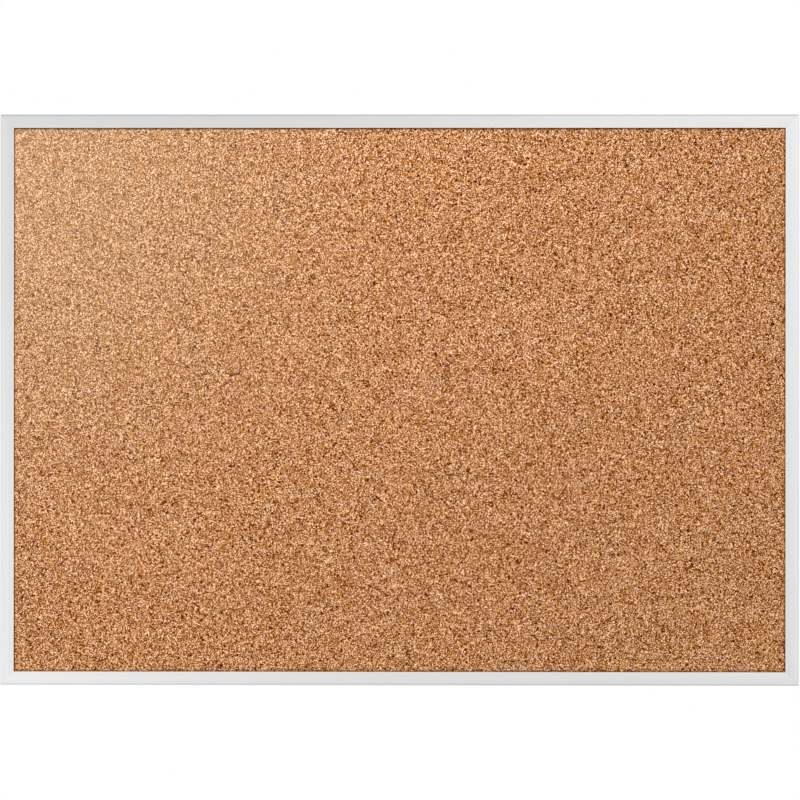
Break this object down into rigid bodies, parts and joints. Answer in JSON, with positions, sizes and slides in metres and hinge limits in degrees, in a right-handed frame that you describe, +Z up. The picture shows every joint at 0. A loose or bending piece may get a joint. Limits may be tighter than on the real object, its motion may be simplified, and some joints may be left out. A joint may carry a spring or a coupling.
{
  "type": "cork bulletin board",
  "caption": "Rectangular wall-hung pin board with a granulated cork face, a thin mitred aluminium frame, and keyhole hangers that slide along the back of its top rail.",
  "frame": {"origin": "middle of the wall plane, which the flat ends of the four bumpers touch, so the middle of the board's width and height", "axes": "+X to the right as the board is read, +Y from the board into the wall, +Z up"},
  "size_m": [0.61, 0.0179, 0.436],
  "materials": {
    "satin_aluminium": "satin",
    "cork": "matte",
    "fibreboard": "matte",
    "kraft_paper": "matte",
    "zinc_plated_steel": "satin",
    "grey_rubber": "satin"
  },
  "bodies": {
    "board": {"frame_rail_left": "satin_aluminium", "frame_rail_top": "satin_aluminium", "frame_rail_right": "satin_aluminium", "frame_rail_bottom": "satin_aluminium", "cork_sheet": "cork", "fibreboard_core": "fibreboard", "backing_sheet": "kraft_paper", "corner_key_bottom_left": "zinc_plated_steel", "corner_key_top_left": "zinc_plated_steel", "corner_key_top_right": "zinc_plated_steel", "corner_key_bottom_right": "zinc_plated_steel", "key_screw_bottom_left_level": "zinc_plated_steel", "key_screw_bottom_left_upright": "zinc_plated_steel", "key_screw_top_left_level": "zinc_plated_steel", "key_screw_top_left_upright": "zinc_plated_steel", "key_screw_top_right_level": "zinc_plated_steel", "key_screw_top_right_upright": "zinc_plated_steel", "key_screw_bottom_right_level": "zinc_plated_steel", "key_screw_bottom_right_upright": "zinc_plated_steel", "wall_bumper_bottom_left": "grey_rubber", "wall_bumper_top_left": "grey_rubber", "wall_bumper_top_right": "grey_rubber", "wall_bumper_bottom_right": "grey_rubber"},
    "left_hanger": {"hanger_left": "zinc_plated_steel"},
    "right_hanger": {"hanger_right": "zinc_plated_steel"}
  },
  "joints": [
    {"name": "left_hanger_slide", "type": "slide", "parent": "board", "child": "left_hanger", "axis": [1, 0, 0], "range_m": [-0.05, 0.1875]},
    {"name": "right_hanger_slide", "type": "slide", "parent": "board", "child": "right_hanger", "axis": [1, 0, 0], "range_m": [-0.1875, 0.05]}
  ]
}
